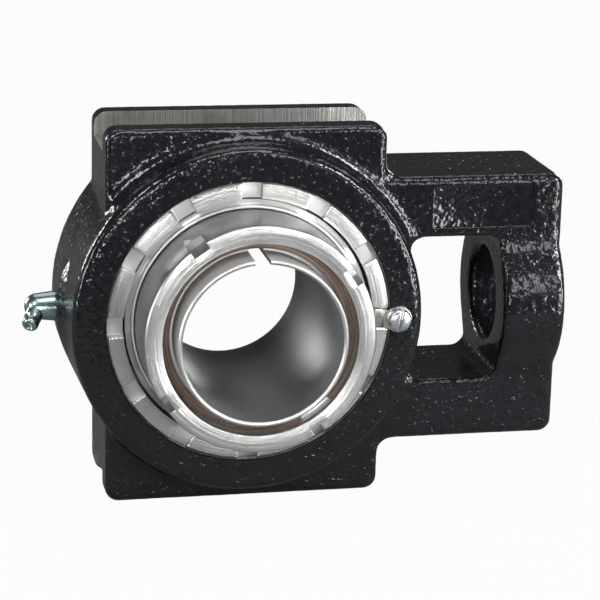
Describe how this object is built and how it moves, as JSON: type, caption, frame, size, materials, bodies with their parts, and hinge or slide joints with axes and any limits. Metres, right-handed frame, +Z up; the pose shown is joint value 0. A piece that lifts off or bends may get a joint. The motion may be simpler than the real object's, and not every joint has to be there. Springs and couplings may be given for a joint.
{
  "type": "take up bearing unit",
  "caption": "Take-up bearing unit: a cast housing with guide grooves and a slotted arm round a self-aligning roller bearing with a split sleeve, lock nut and grease fitting.",
  "frame": {"origin": "centre of the bearing on the shaft axis, midway through the depth of the guide flanges", "axes": "+X towards the take-up screw, +Y along the shaft away from the lock nut, +Z up"},
  "size_m": [0.2135, 0.0966, 0.1496],
  "materials": {
    "painted_casting": "gloss black paint over rough cast iron",
    "cover_steel": "satin turned steel",
    "tab_steel": "zinc-plated strip",
    "screw_steel": "bright zinc",
    "race_steel": "ground bearing steel",
    "roller_steel": "polished bearing steel",
    "cage_brass": "machined brass",
    "seal_steel": "bright rolled steel",
    "seal_rubber": "black rubber",
    "sleeve_steel": "turned steel, bright outside",
    "nut_steel": "fine turned steel",
    "oxide_steel": "brown oxide spring steel",
    "zinc_fitting": "blue-green zinc plate",
    "spring_steel": "spring wire"
  },
  "bodies": {
    "casting": {"housing": "painted_casting", "threaded_cover": "cover_steel", "cover_lock_tab": "tab_steel", "cover_lock_screw": "screw_steel", "front_cup": "race_steel", "rear_cup": "race_steel", "grease_fitting": "zinc_fitting", "grease_check_spring": "spring_steel"},
    "seals": {"front_seal_case": "seal_steel", "front_seal_rubber": "seal_rubber", "rear_seal_case": "seal_steel", "rear_seal_rubber": "seal_rubber"},
    "rotor": {"inner_ring": "race_steel", "adapter_sleeve": "sleeve_steel", "lock_nut": "nut_steel", "snap_ring": "oxide_steel"},
    "front_row": {"front_cage": "cage_brass", "front_rollers": "roller_steel"},
    "rear_row": {"rear_cage": "cage_brass", "rear_rollers": "roller_steel"},
    "check_ball": {"grease_check_ball": "roller_steel"}
  },
  "joints": [
    {"name": "shaft_alignment", "type": "hinge", "parent": "casting", "child": "seals", "pos_m": [0, 0, 0], "axis": [0, 0, 1], "range_deg": [-1.5, 1.5]},
    {"name": "shaft_spin", "type": "hinge", "parent": "seals", "child": "rotor", "pos_m": [0, 0, 0], "axis": [0, 1, 0], "continuous": true},
    {"name": "front_row_orbit", "type": "hinge", "parent": "casting", "child": "front_row", "pos_m": [0, 0, 0], "axis": [0, 1, 0], "continuous": true},
    {"name": "rear_row_orbit", "type": "hinge", "parent": "casting", "child": "rear_row", "pos_m": [0, 0, 0], "axis": [0, 1, 0], "continuous": true},
    {"name": "grease_check", "type": "slide", "parent": "casting", "child": "check_ball", "axis": [0.3584, 0.7917, 0.4947], "range_m": [0, 0.0012], "stiffness_N_per_m": 300, "springref_m": -0.0005, "deforming": ["grease_check_spring"]}
  ],
  "couplings": [
    {"joint": "front_row_orbit", "follows": "shaft_spin", "ratio": 0.45599},
    {"joint": "rear_row_orbit", "follows": "shaft_spin", "ratio": 0.45599}
  ]
}
